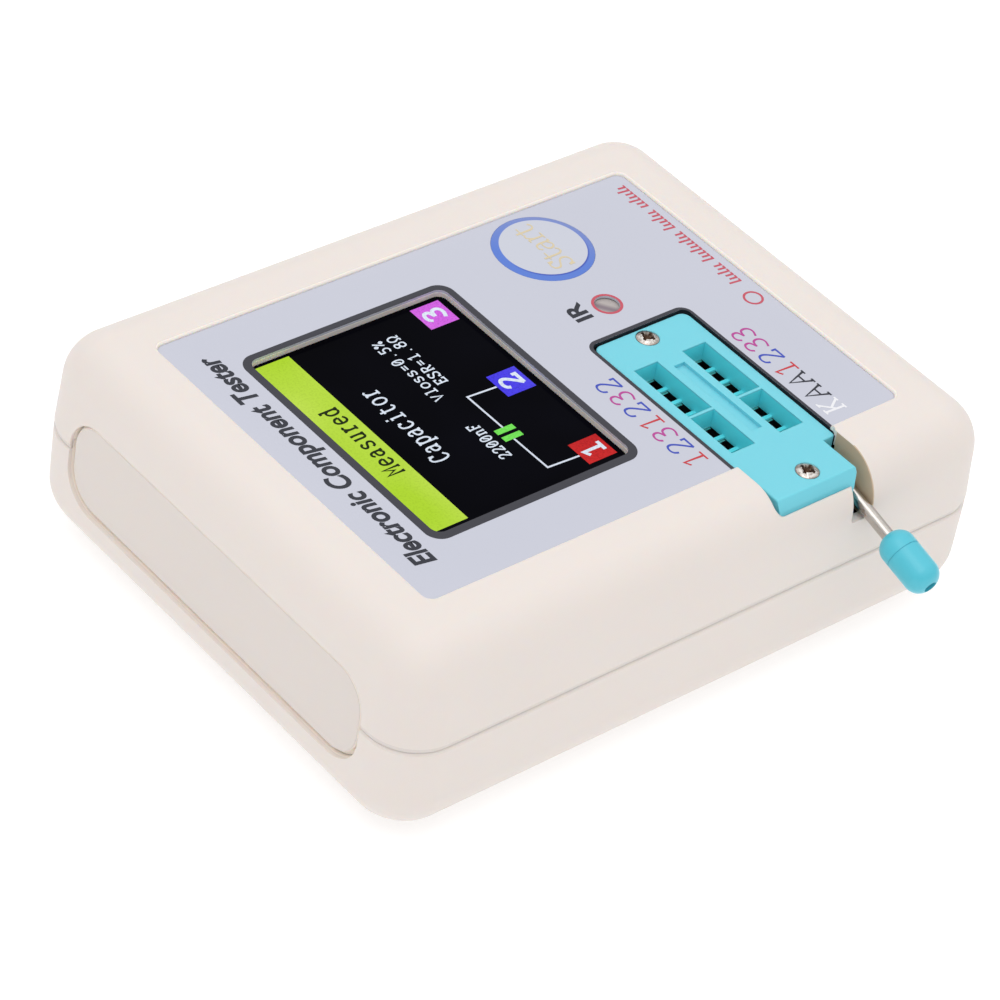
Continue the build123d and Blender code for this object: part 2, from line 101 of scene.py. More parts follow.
class Graph:
    """A material with its Principled shader and short calls to add nodes to it."""

    def __init__(self, name, color, roughness, **sockets):
        self.material = bpy.data.materials.new(name)
        self.material.use_nodes = True
        self.tree = self.material.node_tree
        self.shader = self.tree.nodes["Principled BSDF"]
        self.put("Base Color", color)
        self.put("Roughness", roughness)
        for socket, value in sockets.items():
            self.put(socket.replace("_", " "), value)

    def put(self, socket, value):
        """Set or link an input of the shader."""
        self.connect(self.shader.inputs[socket], value)

    def connect(self, target, value):
        """Link a socket, or set a plain value."""
        if isinstance(value, bpy.types.NodeSocket):
            self.tree.links.new(value, target)
        else:
            target.default_value = value

    def add(self, kind, inputs=None, output=0, **settings):
        """Add a node, set its inputs by name or index, and give back one output."""
        node = self.tree.nodes.new(kind)
        for name, value in settings.items():
            setattr(node, name, value)
        for key, value in (inputs or {}).items():
            self.connect(node.inputs[key], value)
        return node.outputs[output]

    def place(self):
        """Position in the body's own frame, in metres."""
        return self.add("ShaderNodeTexCoord", output="Object")

    def axis(self, letter, place=None):
        """One coordinate of the position, in metres."""
        return self.add("ShaderNodeSeparateXYZ", {0: place or self.place()}, output=letter)

    def noise(self, per_mm, detail=2.0, roughness=0.5, place=None):
        """Noise between 0 and 1, with a number of lumps per millimetre."""
        where = place or self.place()
        return self.add("ShaderNodeTexNoise", {"Vector": where, "Scale": per_mm / MM,
                                               "Detail": detail, "Roughness": roughness})

    def scale(self, value, low, high, start=0.0, end=1.0):
        """Map a value from the range start..end to low..high."""
        return self.add("ShaderNodeMapRange", {"Value": value, "From Min": start, "From Max": end,
                                               "To Min": low, "To Max": high})

    def math(self, operation, first, second=0.0):
        """Result of a Math node."""
        return self.add("ShaderNodeMath", {0: first, 1: second}, operation=operation)

    def mix(self, factor, first, second):
        """Colour between the first, at factor 0, and the second, at factor 1."""
        node = self.tree.nodes.new("ShaderNodeMix")
        node.data_type = "RGBA"
        for key, value in (("Factor_Float", factor), ("A_Color", first), ("B_Color", second)):
            socket = next(s for s in node.inputs if s.identifier == key)
            self.connect(socket, value)
        return next(s for s in node.outputs if s.identifier == "Result_Color")

    def within(self, coordinate, low_mm, high_mm):
        """1 between two stations in millimetres, 0 outside them."""
        above = self.math("GREATER_THAN", coordinate, low_mm * MM)
        return self.math("MULTIPLY", above, self.math("LESS_THAN", coordinate, high_mm * MM))

    def bump(self, height, distance_mm, strength=1.0, edge_mm=0.0):
        """Raise the surface by a height; edge_mm also rounds every edge in the shading."""
        inputs = {"Height": height, "Strength": strength, "Distance": distance_mm * MM}
        if edge_mm:
            inputs["Normal"] = self.add("ShaderNodeBevel", {"Radius": edge_mm * MM}, samples=4)
        self.put("Normal", self.add("ShaderNodeBump", inputs))


def moulded(name, color, roughness, grain_mm, grain_depth, drift=0.03, edge_mm=0.0, light_and_shade_rooms=(),
            **sockets):
    """Moulded plastic: fine sparked grain, a slow drift of tone and uneven gloss.

    Each room paints light or shade: a colour and the X, Y and Z ranges in millimetres where it
    takes over."""
    graph = Graph(name, color, roughness, **sockets)
    slow = graph.noise(0.05, 3.0)
    tone = graph.mix(slow, shade(color, 1 - drift), shade(color, 1 + drift))
    # painted light and shade: each room's colour takes over inside its box
    for room_color, *ranges in light_and_shade_rooms:
        place = graph.place()
        room = 1.0
        for letter, (low, high) in zip("XYZ", ranges):
            room = graph.math("MULTIPLY", room, graph.within(graph.axis(letter, place), low, high))
        tone = graph.mix(room, tone, room_color)
    graph.put("Base Color", tone)
    grain = graph.noise(1 / grain_mm, 3.0, 0.6)
    graph.put("Roughness", graph.scale(grain, roughness - 0.06, roughness + 0.06))
    graph.bump(grain, grain_depth, edge_mm=edge_mm)
    return graph.material


def film_material():
    """Satin printed film, pale blue-grey with a very fine grain; its cut edge round the socket's
    notch takes painted shade of the gap.
    """
    color = paint(204, 206, 219)
    graph = Graph("film_blue_grey", color, 0.42, Specular_IOR_Level=0.3)
    slow = graph.noise(0.03, 2.0)
    printed = graph.mix(slow, shade(color, 0.975), shade(color, 1.02))
    place = graph.place()
    low, high = NOTCH_Y
    margin, past_film = 0.003, -40
    across = graph.within(graph.axis("Y", place), low - margin, high + margin)
    along = graph.within(graph.axis("X", place), past_film, NOTCH_X + margin)
    cut_edge_shade = graph.math("MULTIPLY", across, along)
    # painted shade: the film's cut edge round the notch takes the near-black colour of the shaded
    # gap
    graph.put("Base Color", graph.mix(cut_edge_shade, printed, GAP_SHADE))
    grain = graph.noise(9.0, 2.0)
    graph.put("Roughness", graph.scale(grain, 0.38, 0.46))
    graph.bump(grain, 0.003)
    return graph.material


def key_material():
    """Film of the start key: its sloping ring is printed blue, paler towards the far side as a
    painted sky reflection, with painted shade along its inner crease on the -X side.
    """
    # far is the ring's blue under a painted sky reflection; line is painted shade in the ring's
    # inner crease
    film, near, far = paint(207, 210, 222), paint(92, 128, 216), paint(122, 142, 208)
    line = paint(58, 82, 182)
    ring_start, ring_full = 5.42 * MM, 5.47 * MM      # radii where the blue ring sets in
    crease_shade_full, crease_shade_end = 5.52 * MM, 5.72 * MM        # radii where the painted shade of its inner crease fades
    graph = Graph("key_film", film, 0.38, Specular_IOR_Level=0.3)
    place = graph.place()
    centre = (key_mid.x * MM, key_mid.y * MM, 0.0)
    offset = graph.add("ShaderNodeVectorMath", {0: place, 1: centre}, operation="SUBTRACT")
    flat = graph.add("ShaderNodeVectorMath", {0: offset, 1: (1.0, 1.0, 0.0)}, operation="MULTIPLY")
    radius = graph.add("ShaderNodeVectorMath", {0: flat}, output="Value", operation="LENGTH")
    along = graph.add("ShaderNodeVectorMath", {0: flat, 1: (0.7, -0.7, 0.0)}, output="Value",
                      operation="DOT_PRODUCT")
    # painted sky reflection: the blue grows paler towards the far side
    blue = graph.mix(graph.scale(along, 0.0, 1.0, -2.0 * MM, 5.0 * MM), near, far)
    # painted shade along the inner crease of the ring, on the -X side only
    rim = graph.scale(radius, 1.0, 0.0, crease_shade_full, crease_shade_end)
    side = graph.scale(graph.axis("X", flat), 1.0, 0.0, -4.5 * MM, 0.0)
    blue = graph.mix(graph.math("MULTIPLY", rim, side), blue, line)
    printed = graph.scale(radius, 0.0, 1.0, ring_start, ring_full)
    graph.put("Base Color", graph.mix(printed, film, blue))
    grain = graph.noise(9.0, 2.0, place=place)
    graph.put("Roughness", graph.scale(grain, 0.34, 0.42))
    graph.bump(grain, 0.003)
    return graph.material


def ink(name, color, roughness=0.42):
    """Screen-printed ink with a slightly broken surface."""
    graph = Graph(name, color, roughness, Specular_IOR_Level=0.25)
    grain = graph.noise(6.0, 3.0, 0.7)
    graph.put("Base Color", graph.mix(grain, shade(color, 0.92), shade(color, 1.06)))
    graph.put("Roughness", graph.scale(grain, roughness - 0.05, roughness + 0.08))
    graph.bump(grain, 0.002)
    return graph.material


def lit(name, color, other=None, speck=0.12):
    """Lit part of the screen: fine cells, and a slow drift towards a second tone."""
    graph = Graph(name, shade(color, 0.02), 0.3, Specular_IOR_Level=0.05)
    slow = graph.noise(0.07, 1.0)
    tone = graph.mix(graph.scale(slow, 0.0, 1.0, 0.35, 0.65), color, other or shade(color, 0.94))
    cell = graph.noise(3.5, 2.0, 0.7)
    level = graph.scale(cell, 1 - 2 * speck, 1.0, 0.3, 0.55)
    graph.put("Emission Color", graph.mix(level, (0.0, 0.0, 0.0, 1.0), tone))
    graph.put("Emission Strength", 1.0)
    return graph.material


def glass_material():
    """Dark glass of the screen: near black, with a faint blue cast and a smooth face."""
    graph = Graph("screen_glass", srgb(6, 6, 9), 0.12, Specular_IOR_Level=0.012)
    slow = graph.noise(0.08, 2.0)
    graph.put("Base Color", graph.mix(slow, srgb(1, 1, 2), srgb(8, 8, 17)))
    graph.put("Roughness", graph.scale(graph.noise(3.0), 0.10, 0.16))
    return graph.material


def metal(name, color, roughness, streak=(1.0, 1.0, 1.0), streak_per_mm=3.0, depth=0.004,
          contrast=0.18):
    """Bright metal with drawing or plating marks along one direction."""
    graph = Graph(name, color, roughness, Metallic=1.0)
    stretched = graph.add("ShaderNodeMapping", {"Vector": graph.place(), "Scale": streak})
    marks = graph.noise(streak_per_mm, 4.0, 0.65, place=stretched)
    graph.put("Base Color", graph.mix(marks, shade(color, 1 - contrast), shade(color, 1.05)))
    graph.put("Roughness", graph.scale(marks, roughness - 0.07, roughness + 0.12))
    graph.bump(marks, depth)
    return graph


def contact_material():
    """Plated spring contact, with painted shade making it near black below the mouth of its slot.
    """
    graph = metal("contact_plate", srgb(228, 224, 212), 0.22)
    dark_z, bright_z = 24.0 * MM, 24.36 * MM      # heights where the painted shade of the slot ends
    mouth = graph.scale(graph.axis("Z"), 0.0, 1.0, dark_z, bright_z)
    marks = graph.noise(3.0, 4.0)
    # painted shade inside the slot, with a little random tone in it
    slot_shade = graph.mix(marks, srgb(16, 14, 12), srgb(34, 30, 26))
    graph.put("Base Color", graph.mix(mouth, slot_shade, srgb(232, 228, 216)))
    return graph.material


def screw_material():
    """Bright plating with brown blotches, part stain and part painted dark reflection, and painted
    shade that browns it down in the cross recess.
    """
    color = srgb(224, 221, 216)
    graph = metal("screw_chrome", color, 0.17)
    place = graph.place()
    # painted shade: brown-grey down in the cross recess
    recess_shade = graph.scale(graph.axis("Z", place), 1.0, 0.0, (screws_high.z - 0.5) * MM,
                       (screws_high.z - 0.12) * MM)
    marks = graph.noise(2.4, 3.0, 0.6, place=place)
    # brown blotches: part stain, part painted reflection of dark surroundings
    stain_and_reflection = graph.math("MULTIPLY", graph.scale(marks, 0.0, 1.0, 0.46, 0.56), 0.55)
    plated = graph.mix(stain_and_reflection, color, srgb(120, 100, 88))
    graph.put("Base Color", graph.mix(recess_shade, plated, srgb(150, 132, 120)))
    return graph.material


def window_material():
    """Milky window over the receiver, with a dim band where the lens lies under it."""
    color, dim = paint(188, 180, 177), paint(140, 127, 135)
    graph = Graph("smoked_window", color, 0.3, Specular_IOR_Level=0.2)
    place = graph.place()
    along = graph.add("ShaderNodeVectorMath", {0: place, 1: (0.55, -0.75, 0.0)}, output="Value",
                      operation="DOT_PRODUCT")
    middle = (0.55 * ir_mid.x - 0.75 * ir_mid.y) * MM
    off = graph.math("ABSOLUTE", graph.math("SUBTRACT", along, middle - 0.25 * MM))
    graph.put("Base Color", graph.mix(graph.scale(off, 1.0, 0.0, 0.15 * MM, 0.75 * MM), color, dim))
    graph.bump(graph.noise(1.0, place=place), 0.002)
    return graph.material


def board_material():
    """Green solder mask over a weave, darker and lighter at random."""
    color = srgb(20, 92, 48)
    graph = Graph("board_green", color, 0.35)
    weave = graph.noise(1.2, 3.0)
    graph.put("Base Color", graph.mix(weave, shade(color, 0.7), shade(color, 1.2)))
    graph.bump(weave, 0.02)
    return graph.material


# ---- materials ----------------------------------------------------------------------------
CASE_COLOR = paint(240, 231, 225)
# painted light: a pale warm colour that lifts the shade in creases and openings of the ivory
# plastic
CREASE_LIGHT = srgb(249, 239, 230)
# painted light: a paler, bluer teal that lifts the shade on the socket's pocket walls
POCKET_LIGHT = paint(104, 240, 252)
# painted shade: near black for the narrow gaps round the socket
GAP_SHADE = srgb(24, 26, 32)
WAXY = {   # light scattered under the surface, which warms every crease
    "Subsurface_Weight": 0.4, "Subsurface_Radius": (1.0, 0.62, 0.38),
    "Subsurface_Scale": 0.5 * MM,
}

# Rooms of painted light and shade: a colour, and the X, Y and Z ranges in millimetres where a
# plastic takes it.
ANYWHERE = (-60, 60)     # a range wider than the part
FACE_DEPTH = 0.06        # depth of an end panel's outer face, mm
OPENING_GAP = 0.15       # how far an end opening is wider than its panel, mm
RIM_REACH = 0.51         # from the film's edge to where the rounded rim round it ends, mm
panel_low, panel_high = node_box("blank_end_panel")
inner_y = panel_high.y - FACE_DEPTH
opening_x = (panel_low.x - OPENING_GAP, panel_high.x + OPENING_GAP)
opening_y = (case_high.y - 2.1, case_high.y - 0.5)
opening_z = (panel_low.z - OPENING_GAP, panel_high.z + OPENING_GAP)
rim_x, rim_y = film_high.x + RIM_REACH, film_high.y + RIM_REACH
gap_y = (NOTCH_Y[0] - 0.01, NOTCH_Y[1] + 0.01)
slots_x, slots_y = (-25.2, -1.0), (-23.4, -10.6)
pockets_z = (24.5, 27.03)
# painted light on the sides of the end panels and the walls of the end openings
PANEL_SIDES_LIGHT = (CREASE_LIGHT, ANYWHERE, (-inner_y, inner_y), ANYWHERE)
TITLE_OPENING_LIGHT = (CREASE_LIGHT, opening_x, opening_y, opening_z)
PORT_OPENING_LIGHT = (CREASE_LIGHT, opening_x, (-opening_y[1], -opening_y[0]), opening_z)
# painted light on the rounded rim of the film's recess
LABEL_RIM_LIGHT = (srgb(250, 240, 231), (-rim_x, rim_x), (-rim_y, rim_y), (27.1, 27.94))
# painted shade on the band along the seam, under the top half's chamfer
SEAM_SHADE = (shade(CASE_COLOR, 0.9), ANYWHERE, ANYWHERE, (seam_z - 0.05, seam_z + 0.71))
# painted warm shade on the wall of the lever's notch
LEVER_WELL_SHADE = (srgb(204, 182, 156), (-34.9, -26.9), (-24.4, -24.1), (19.9, 27.95))
# painted shade on the case's walls in the gap beside the socket
SOCKET_GAP_SHADE = (GAP_SHADE, (-26.75, NOTCH_X + 0.01), gap_y, (16.0, 27.3))
# painted shade deep inside the socket, under its slots
SOCKET_INSIDE_SHADE = (srgb(14, 22, 24), (slots_x[0], -3.0), slots_y, (10.0, pockets_z[0]))
# painted light on the walls of the two rows of pockets
FAR_POCKETS_LIGHT = (POCKET_LIGHT, slots_x, (slots_y[0], -18.2), pockets_z)
NEAR_POCKETS_LIGHT = (POCKET_LIGHT, slots_x, (-15.8, slots_y[1]), pockets_z)

IVORY = moulded("case_ivory", CASE_COLOR, roughness=0.52, grain_mm=0.16, grain_depth=0.010,
                drift=0.012, edge_mm=0.18, Specular_IOR_Level=0.35, **WAXY,
                light_and_shade_rooms=(SEAM_SHADE, LABEL_RIM_LIGHT, LEVER_WELL_SHADE, SOCKET_GAP_SHADE, TITLE_OPENING_LIGHT,
                       PORT_OPENING_LIGHT))
PANEL = moulded("panel_ivory", shade(CASE_COLOR, 0.93), roughness=0.56, grain_mm=0.2,
                grain_depth=0.012, drift=0.015, edge_mm=0.15, light_and_shade_rooms=(PANEL_SIDES_LIGHT,),
                Specular_IOR_Level=0.3, **WAXY)
TEAL = moulded("socket_teal", paint(122, 217, 233), roughness=0.36, grain_mm=0.3,
               grain_depth=0.006, drift=0.02, edge_mm=0.1,
               light_and_shade_rooms=(FAR_POCKETS_LIGHT, NEAR_POCKETS_LIGHT, SOCKET_INSIDE_SHADE), Specular_IOR_Level=0.45,
               Subsurface_Weight=0.3, Subsurface_Radius=(0.4, 1.0, 1.0),
               Subsurface_Scale=0.8 * MM)
KNOB_TEAL = moulded("knob_teal", paint(84, 200, 220), roughness=0.3, grain_mm=0.5,
                    grain_depth=0.006)
BLACK_PLASTIC = moulded("black_plastic", srgb(22, 22, 24), roughness=0.5, grain_mm=0.2,
                        grain_depth=0.01, drift=0.1, Specular_IOR_Level=0.3)
WHITE_PLASTIC = moulded("white_plastic", srgb(226, 224, 218), roughness=0.45, grain_mm=0.3,
                        grain_depth=0.01)
FOAM = moulded("foam_black", srgb(36, 36, 38), roughness=0.9, grain_mm=0.6, grain_depth=0.15,
               drift=0.2)
WIRE = moulded("wire_red", srgb(178, 34, 30), roughness=0.4, grain_mm=0.8, grain_depth=0.01,
               drift=0.05)
LENS = moulded("light_lens", srgb(214, 224, 214), roughness=0.2, grain_mm=1.0,
               grain_depth=0.004)
FILM = film_material()
KEY = key_material()
GLASS = glass_material()
SMOKED = window_material()
CHROME = screw_material()
CONTACT = contact_material()
ROD = metal("rod_steel", srgb(208, 202, 196), roughness=0.18, streak=(0.12, 1.0, 1.0),
            streak_per_mm=5.0, contrast=0.4).material
CAN = metal("drawn_can", srgb(200, 200, 202), roughness=0.3).material
ZINC = metal("zinc_screw", srgb(150, 150, 152), roughness=0.34).material
FOIL = metal("cell_foil", srgb(196, 197, 200), roughness=0.38, streak_per_mm=0.3,
             depth=0.05).material
BOARD = board_material()

INK_DARK = ink("ink_charcoal", paint(62, 62, 70))
INK_RED = ink("ink_red", paint(206, 62, 70))
INK_ROSE = ink("ink_rose", paint(204, 88, 104))
INK_BLUE = ink("ink_blue", paint(66, 84, 190))
INK_MAGENTA = ink("ink_magenta", paint(190, 74, 156))
INK_BLACK = ink("ink_black", paint(48, 50, 60))
INK_WHITE = ink("ink_white", paint(244, 244, 248))
INK_GOLD = ink("ink_gold", paint(224, 208, 172))

LIT_TEXT = lit("lit_text", srgb(226, 236, 250))
LIT_LINE = lit("lit_line", srgb(222, 230, 244))
LIT_LIME = lit("lit_lime", srgb(174, 214, 48), srgb(194, 224, 84), speck=0.06)
LIT_SHADE = lit("lit_shade", srgb(30, 42, 14))
LIT_GREEN = lit("lit_green", srgb(120, 232, 92))
LIT_RED = lit("lit_red", srgb(214, 44, 42), srgb(190, 32, 36), speck=0.16)
LIT_BLUE = lit("lit_blue", srgb(70, 58, 232), srgb(92, 84, 240), speck=0.14)
LIT_MAGENTA = lit("lit_magenta", srgb(206, 88, 224), srgb(232, 130, 244), speck=0.14)

node_materials = {
    "top_shell": IVORY, "bottom_shell": IVORY, "blank_end_panel": PANEL, "port_end_panel": PANEL,
    "case_screws": ZINC, "label_film": FILM, "start_key": KEY, "key_actuator": WHITE_PLASTIC,
    "switch_body": BLACK_PLASTIC, "switch_plunger": BLACK_PLASTIC, "display_glass": GLASS,
    "display_backlight": WHITE_PLASTIC, "display_board": BOARD, "display_header": BLACK_PLASTIC,
    "ir_window": SMOKED, "ir_receiver": BLACK_PLASTIC, "socket_base": TEAL, "socket_cover": TEAL,
    "socket_slider": BLACK_PLASTIC, "socket_contacts": CONTACT, "socket_screws": CHROME,
    "lever_rod": ROD, "lever_knob": KNOB_TEAL, "main_board": BOARD,
    "microcontroller": BLACK_PLASTIC, "crystal": CAN, "charger_chip": BLACK_PLASTIC,
    "board_components": BLACK_PLASTIC, "can_capacitors": CAN, "charging_socket": CAN,
    "charge_lights": LENS, "battery_cell": FOIL, "battery_pad": FOAM, "battery_leads": WIRE,
    "battery_connector": WHITE_PLASTIC,
}
body_of = {node: body for body, members in frame["record"]["behaviour"]["bodies"].items()
           for node in members}


# ---- smooth shading -----------------------------------------------------------------------
CORNER_R = 6.4           # corner radius of the case at its seam, mm
CLIMB_SLACK = 0.001      # rounding allowed at the two ends of a rounded edge, as a share of it
SKIN_BAND = 0.12         # how far a corner point may lie off the ideal skin, mm
FLAT_DOT = 0.99996       # normals of a face that agree this well make it a flat one
MEETS_FLAT_DOT = 0.92    # a rounded edge this close to a flat face joins it smoothly
SKIN_TURN = cos(radians(25))   # the ideal normal may differ from the mesh's by 25 degrees
EDGE_TURN = cos(radians(32))   # rounded faces closer than 32 degrees share their normals
HALVES = {   # shoulder height, height of the flat, draft, how far the edge runs in, corner share
    "top_shell": (21.9, 28.0, 0.46, 5.5, 0.93),
    "bottom_shell": (7.4, 0.0, 0.0, 8.5, 0.55),
}


def case_normal(name, point):
    """Exact outward direction of a case half's outer skin, or None away from that skin."""
    shoulder, flat_z, draft, run, share = HALVES[name]
    x, y, z = (value / MM for value in point)
    rise = flat_z - shoulder
    climb = (z - shoulder) / rise
    if climb <= CLIMB_SLACK or climb > 1 + CLIMB_SLACK:
        return None
    level = sqrt(max(0.0, 1 - climb * climb))
    inset = draft + run * (1 - level)
    radius = CORNER_R - share * inset
    past_x = abs(x) - (case_high.x - inset - radius)
    past_y = abs(y) - (case_high.y - inset - radius)
    reach = hypot(max(past_x, 0), max(past_y, 0))
    if abs(reach - radius) > SKIN_BAND:
        return None
    out_x, out_y = max(past_x, 0) / reach, max(past_y, 0) / reach
    slope = run * climb / (abs(rise) * max(level, 1e-4))
    tilt = slope * ((1 - share) * (out_x + out_y) + share) * (1 if rise > 0 else -1)
    return Vector((out_x if x > 0 else -out_x, out_y if y > 0 else -out_y, tilt)).normalized()


def islands(mesh):
    """Number of the CAD face that each vertex belongs to; vertices are not shared between them."""
    root = list(range(len(mesh.vertices)))

    def find(index):
        while root[index] != index:
            root[index] = root[root[index]]
            index = root[index]
        return index

    for polygon in mesh.polygons:
        first = find(polygon.vertices[0])
        for vertex in polygon.vertices[1:]:
            root[find(vertex)] = first
    return [find(index) for index in range(len(root))]


def skin_normals(name, mesh):
    """Vertex normals: flat faces stay flat and a rounded edge meets them without a crease."""
    member = islands(mesh)
    span = {}
    for polygon in mesh.polygons:
        span.setdefault(member[polygon.vertices[0]], []).append(polygon.normal.copy())
    plane = {island: normals[0] for island, normals in span.items()
             if all(normals[0].dot(normal) > FLAT_DOT for normal in normals)}
    own = [plane.get(member[v.index], v.normal.copy()) for v in mesh.vertices]
    shared = {}
    for vertex in mesh.vertices:
        spot = tuple(round(value / MM, 3) for value in vertex.co)
        shared.setdefault(spot, []).append(vertex.index)
    result = list(own)
    for group in shared.values():
        for index in group:
            if member[index] in plane:
                continue
            exact = case_normal(name, mesh.vertices[index].co) if name in HALVES else None
            if exact is not None and exact.dot(own[index]) > SKIN_TURN:
                result[index] = exact
                continue
            flats = [own[k] for k in group
                     if member[k] in plane and own[k].dot(own[index]) > MEETS_FLAT_DOT]
            if flats:
                result[index] = max(flats, key=own[index].dot)
            else:
                near = [own[k] for k in group if own[k].dot(own[index]) > EDGE_TURN]
                result[index] = sum(near, Vector()).normalized()
    return result


def dress(name):
    """Give a CAD node its material."""
    mesh = nodes[name].data
    mesh.materials.clear()
    mesh.materials.append(node_materials[name])


def smooth_copy(name):
    """Stand-in for a node: the same surface, shaded smooth where it is rounded."""
    mesh = nodes[name].data.copy()
    mesh.shade_smooth()
    mesh.normals_split_custom_set_from_vertices(skin_normals(name, mesh))
    mesh.materials.clear()
    mesh.materials.append(node_materials[name])
    piece = bpy.data.objects.new(name + "_skin", mesh)
    bpy.context.scene.collection.objects.link(piece)
    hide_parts(name)
    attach(piece, body_of[name])


for node_name in nodes:
    dress(node_name)
for node_name in ("top_shell", "bottom_shell", "blank_end_panel", "port_end_panel", "start_key",
                  "socket_cover", "socket_base", "lever_rod", "lever_knob", "socket_screws",
                  "case_screws", "charging_socket", "ir_window"):
    smooth_copy(node_name)


# ---- flat shapes --------------------------------------------------------------------------
def add_piece(name, mesh, material, body):
    """Link a mesh in the world frame and let it ride on a body."""
    mesh.materials.clear()
    mesh.materials.append(material)
    piece = bpy.data.objects.new(name, mesh)
    bpy.context.scene.collection.objects.link(piece)
    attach(piece, body)


def curve_mesh(name, curve):
    """Mesh of a filled curve or of letters."""
    shaper = bpy.data.objects.new(name + "_shaper", curve)
    bpy.context.scene.collection.objects.link(shaper)
    bpy.context.view_layer.update()
    mesh = bpy.data.meshes.new_from_object(shaper)
    bpy.data.objects.remove(shaper)
    return mesh


def flat_piece(name, loops, z, material, body="case", thickness=PRINT_T):
    """Thin plate from closed outlines in millimetres; an outline inside another is a hole."""
    curve = bpy.data.curves.new(name, "CURVE")
    curve.dimensions = "2D"
    curve.fill_mode = "BOTH"
    curve.extrude = thickness * MM / 2
    for loop in loops:
        spline = curve.splines.new("POLY")
        spline.points.add(len(loop) - 1)
        for point, (x, y) in zip(spline.points, loop):
            point.co = (x * MM, y * MM, 0.0, 1.0)
        spline.use_cyclic_u = True
    mesh = curve_mesh(name, curve)
    mesh.transform(Matrix.Translation((0, 0, (z + thickness / 2) * MM)))
    add_piece(name, mesh, material, body)


def arc(x, y, radius, start, end, steps=10):
    """Points on an arc, with angles in degrees."""
    turns = [radians(start + (end - start) * k / steps) for k in range(steps + 1)]
    return [(x + radius * cos(turn), y + radius * sin(turn)) for turn in turns]


def circle(x, y, radius, steps=64):
    """Closed round outline."""
    return arc(x, y, radius, 0, 360, steps)[:-1]


def box_loop(x_low, x_high, y_low, y_high):
    """Rectangular outline."""
    return [(x_low, y_low), (x_high, y_low), (x_high, y_high), (x_low, y_high)]


def round_rect(x, y, width, length, radius):
    """Outline of a rectangle with round corners, about its centre."""
    half_w, half_l = width / 2 - radius, length / 2 - radius
    loop = []
    for start, side_x, side_y in ((0, 1, 1), (90, -1, 1), (180, -1, -1), (270, 1, -1)):
        loop += arc(x + side_x * half_w, y + side_y * half_l, radius, start, start + 90)
    return loop


